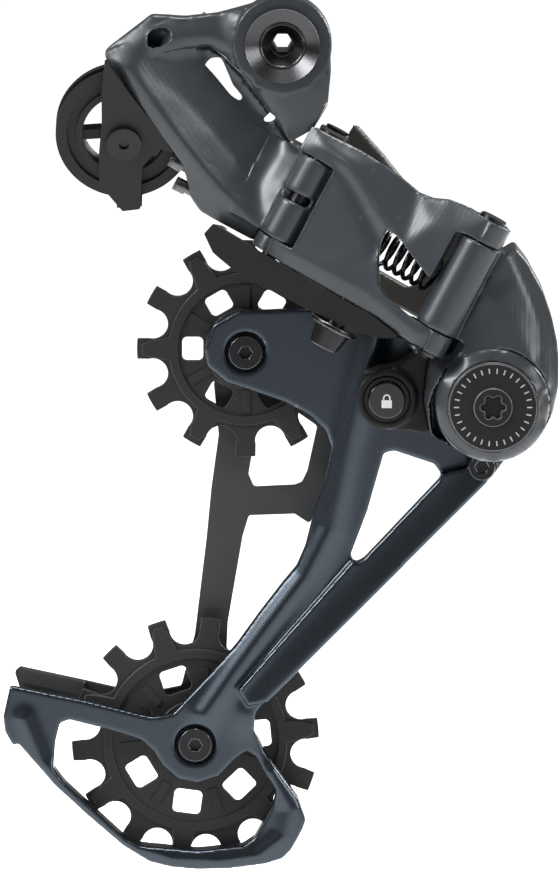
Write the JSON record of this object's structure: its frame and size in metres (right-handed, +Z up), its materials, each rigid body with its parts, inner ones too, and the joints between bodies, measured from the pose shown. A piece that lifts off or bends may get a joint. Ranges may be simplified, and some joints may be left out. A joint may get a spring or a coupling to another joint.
{
  "type": "rear bicycle derailleur",
  "caption": "Rear bicycle derailleur: slant parallelogram with rear cable wheel, sprung clutch knuckle and a long cage holding a guide pulley and a tension pulley.",
  "frame": {"origin": "on the hanger bolt's axis, at the face that rests on the frame's hanger", "axes": "+X forwards along the bicycle, +Y inboard towards the wheel and along the hanger bolt, +Z up"},
  "size_m": [0.1414, 0.054, 0.2256],
  "materials": {
    "grey_paint": "satin blue-grey painted casting",
    "link_alloy": "brown-grey anodised forging",
    "black_composite": "fine-grained black glass-filled nylon",
    "cap_charcoal": "matte charcoal cap",
    "button_gloss": "glossy black button",
    "cage_blueblack": "blue-black anodised aluminium with polished edges",
    "inner_cage_steel": "mid-grey coated steel",
    "pulley_nylon": "moulded dark grey nylon",
    "dark_bolt": "black zinc plated steel",
    "gunmetal_bolt": "turned gunmetal",
    "bright_steel": "bright plated steel",
    "bush_bronze": "sintered bronze bush",
    "seal_rubber": "black rubber seal"
  },
  "bodies": {
    "b_knuckle": {"b_knuckle": "grey_paint", "hanger_bush": "bush_bronze", "b_plate": "bright_steel", "cable_bracket": "black_composite", "cable_wheel_axle": "dark_bolt"},
    "hanger_bolt": {"hanger_bolt": "gunmetal_bolt", "bolt_circlip": "dark_bolt"},
    "cable_wheel": {"cable_wheel": "black_composite", "cable_wheel_bush": "bush_bronze"},
    "b_adjust_screw": {"b_adjust_screw": "bright_steel"},
    "high_limit_screw": {"high_limit_screw": "bright_steel"},
    "low_limit_screw": {"low_limit_screw": "bright_steel"},
    "outer_link": {"outer_link": "grey_paint", "link_skid_plate": "black_composite", "outer_link_pins": "bright_steel", "outer_pin_clips": "bright_steel", "cable_anchor_bolt": "dark_bolt", "cable_anchor_washer": "dark_bolt", "return_spring": "dark_bolt"},
    "inner_link": {"inner_link": "link_alloy", "inner_link_pins": "bright_steel"},
    "p_knuckle": {"p_knuckle": "grey_paint", "clutch_cap": "cap_charcoal", "clutch_ring": "bright_steel", "clutch_rollers": "bright_steel", "cage_spring": "dark_bolt", "pivot_bush": "bush_bronze", "dust_seal": "seal_rubber", "lock_housing": "black_composite", "lock_collar": "seal_rubber", "lock_spring": "dark_bolt"},
    "lock_button": {"lock_button": "button_gloss"},
    "cage": {"outer_cage_plate": "cage_blueblack", "inner_cage_plate": "inner_cage_steel", "cage_axle": "bright_steel", "clutch_hub": "bright_steel", "cage_stop_screw": "dark_bolt", "upper_pulley_bolt": "dark_bolt", "lower_pulley_bolt": "dark_bolt", "upper_pulley_sleeve": "bright_steel", "lower_pulley_sleeve": "bright_steel", "upper_pulley_covers": "bright_steel", "lower_pulley_covers": "bright_steel"},
    "upper_pulley": {"upper_pulley": "pulley_nylon", "upper_pulley_bearing": "bright_steel"},
    "lower_pulley": {"lower_pulley": "pulley_nylon", "lower_pulley_bearing": "bright_steel"}
  },
  "joints": [
    {"name": "parallelogram_swing", "type": "hinge", "parent": "b_knuckle", "child": "outer_link", "pos_m": [0.00449, -0.013, -0.03863], "axis": [0.4695, 0, 0.8829], "range_deg": [0, 53], "stiffness_Nm_per_rad": 0.15, "springref_deg": -34.38, "deforming": ["return_spring"]},
    {"name": "inner_link_swing", "type": "hinge", "parent": "b_knuckle", "child": "inner_link", "pos_m": [0.00581, 0.008, -0.03933], "axis": [0.4695, 0, 0.8829], "range_deg": [0, 53]},
    {"name": "p_knuckle_level", "type": "hinge", "parent": "outer_link", "child": "p_knuckle", "pos_m": [0.04396, -0.02752, -0.05962], "axis": [0.4695, 0, 0.8829], "range_deg": [-53, 0]},
    {"name": "cage_swing", "type": "hinge", "parent": "p_knuckle", "child": "cage", "pos_m": [0.05295, 0, -0.0898], "axis": [0, -1, 0], "range_deg": [0, 95], "stiffness_Nm_per_rad": 0.25, "springref_deg": -34.38},
    {"name": "upper_pulley_spin", "type": "hinge", "parent": "cage", "child": "upper_pulley", "pos_m": [-0.0094, 0.0125, -0.0798], "axis": [0, 1, 0], "continuous": true},
    {"name": "lower_pulley_spin", "type": "hinge", "parent": "cage", "child": "lower_pulley", "pos_m": [-0.0223, 0.0125, -0.1808], "axis": [0, 1, 0], "continuous": true},
    {"name": "cable_wheel_spin", "type": "hinge", "parent": "b_knuckle", "child": "cable_wheel", "pos_m": [-0.04, -0.002, -0.0223], "axis": [0, -0.9455, -0.3256], "continuous": true},
    {"name": "hanger_bolt_turn", "type": "hinge", "parent": "b_knuckle", "child": "hanger_bolt", "pos_m": [0, 0, 0], "axis": [0, 1, 0], "continuous": true},
    {"name": "lock_button_press", "type": "slide", "parent": "p_knuckle", "child": "lock_button", "axis": [0, 1, 0], "range_m": [0, 0.0024], "stiffness_N_per_m": 400, "springref_m": -0.002, "deforming": ["lock_spring"]},
    {"name": "b_adjust_travel", "type": "slide", "parent": "b_knuckle", "child": "b_adjust_screw", "axis": [-0.735, 0, 0.678], "range_m": [0, 0.004]},
    {"name": "high_limit_travel", "type": "slide", "parent": "b_knuckle", "child": "high_limit_screw", "axis": [-0.8829, 0, 0.4695], "range_m": [0, 0.003]},
    {"name": "low_limit_travel", "type": "slide", "parent": "b_knuckle", "child": "low_limit_screw", "axis": [-0.8829, 0, 0.4695], "range_m": [0, 0.003]}
  ],
  "couplings": [
    {"joint": "inner_link_swing", "follows": "parallelogram_swing", "ratio": 1},
    {"joint": "p_knuckle_level", "follows": "parallelogram_swing", "ratio": -1}
  ]
}
